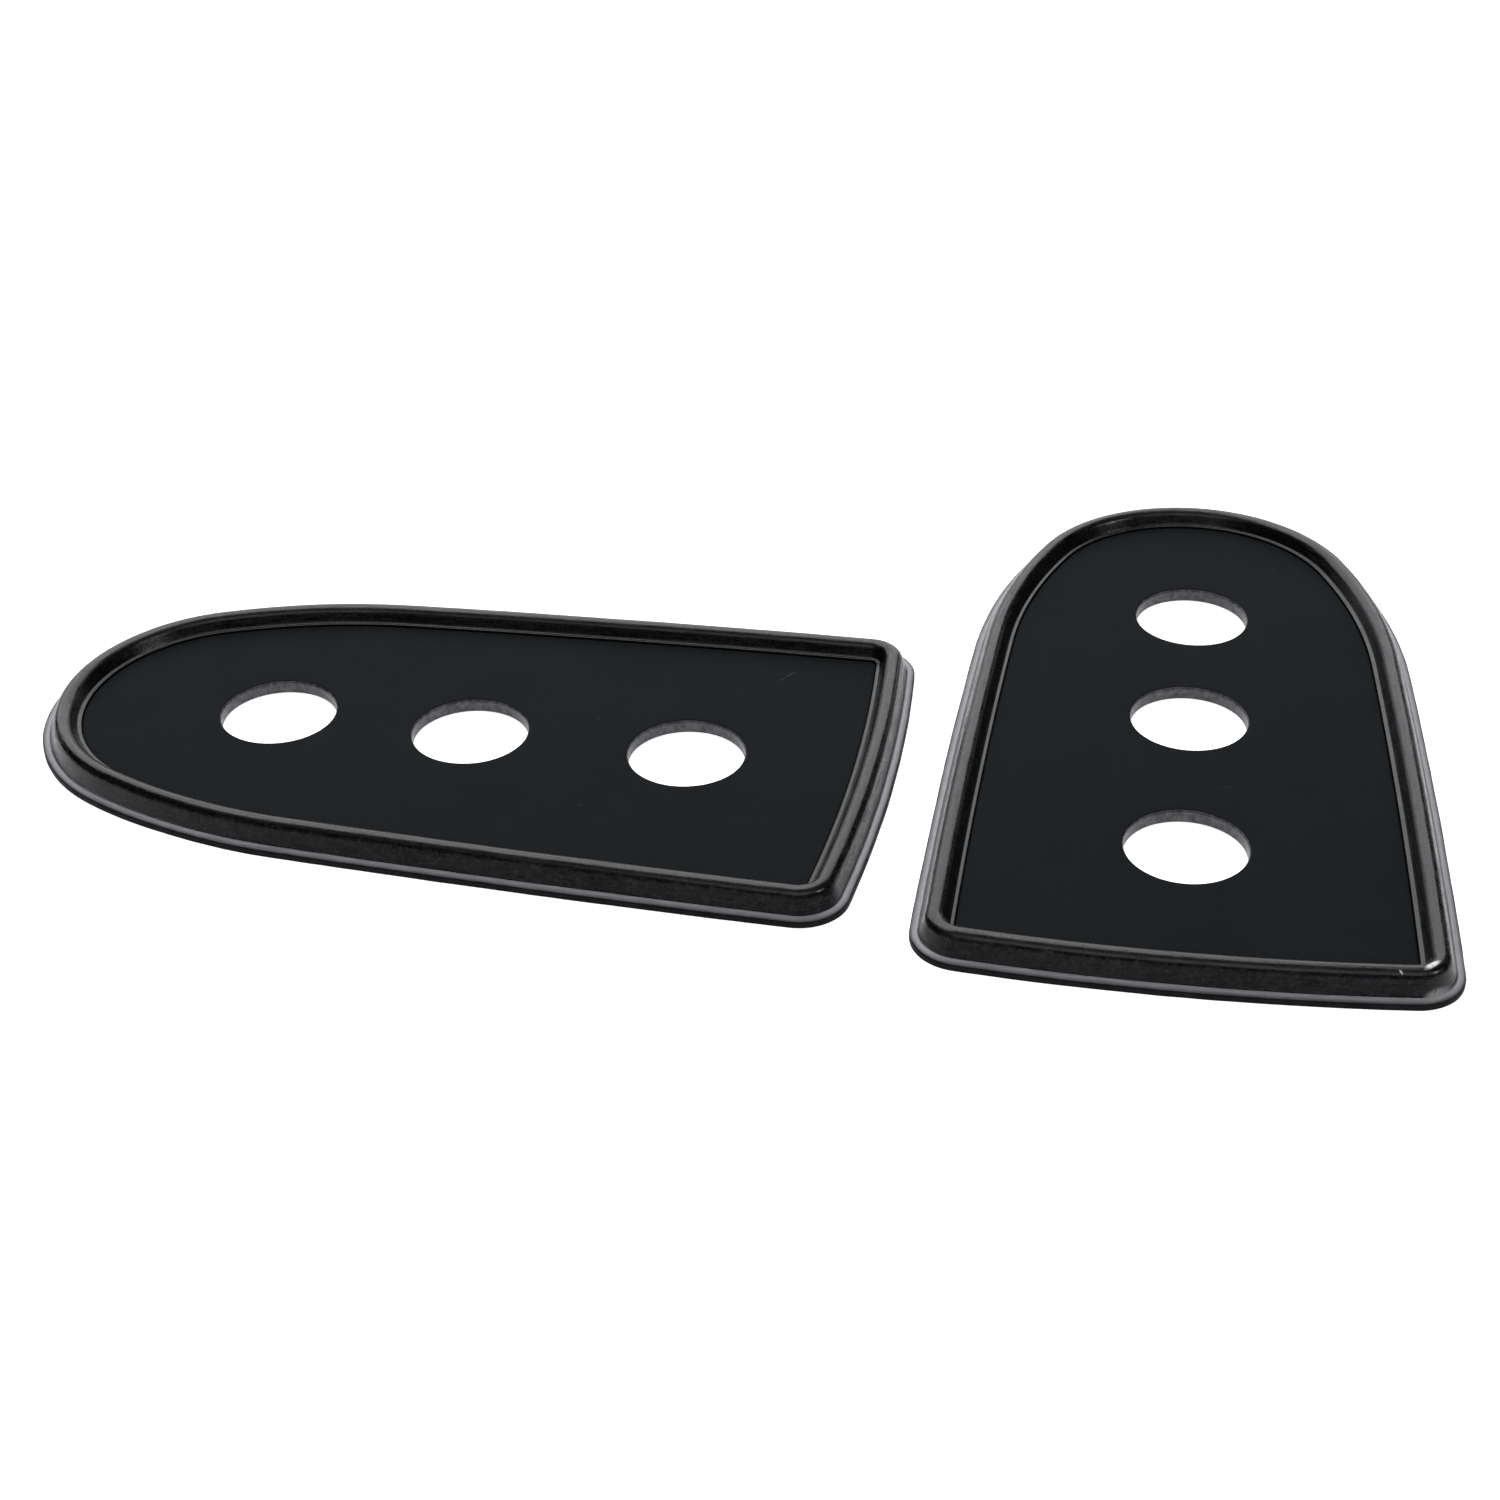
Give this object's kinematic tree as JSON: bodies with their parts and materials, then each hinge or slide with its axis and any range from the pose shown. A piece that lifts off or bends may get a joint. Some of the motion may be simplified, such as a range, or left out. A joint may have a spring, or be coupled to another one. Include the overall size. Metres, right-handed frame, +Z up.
{
  "type": "three-hole rubber guard pad pair",
  "caption": "Flat black guard pads, tombstone-shaped: a matte face plate with round through-holes on its centreline, ringed by a raised glossy bead with a thin foot lip.",
  "frame": {"origin": "centre of the pair's bounding box in plan, on the surface that the pads lie on", "axes": "+Z up out of the recessed faces; +X along the longer side of the pair's layout, from the left pad to the right pad; +Y away from the side that the picture was taken from"},
  "size_m": [0.1406, 0.0888, 0.003],
  "materials": {
    "face_rubber": "matte",
    "bead_rubber": "gloss"
  },
  "bodies": {
    "left_pad": {"left_face_plate": "face_rubber", "left_edge_bead": "bead_rubber"},
    "right_pad": {"right_face_plate": "face_rubber", "right_edge_bead": "bead_rubber"}
  },
  "joints": [
    {"name": "right_pad_lift", "type": "slide", "parent": "left_pad", "child": "right_pad", "axis": [0, 0, 1], "range_m": [0, 0.06]}
  ]
}
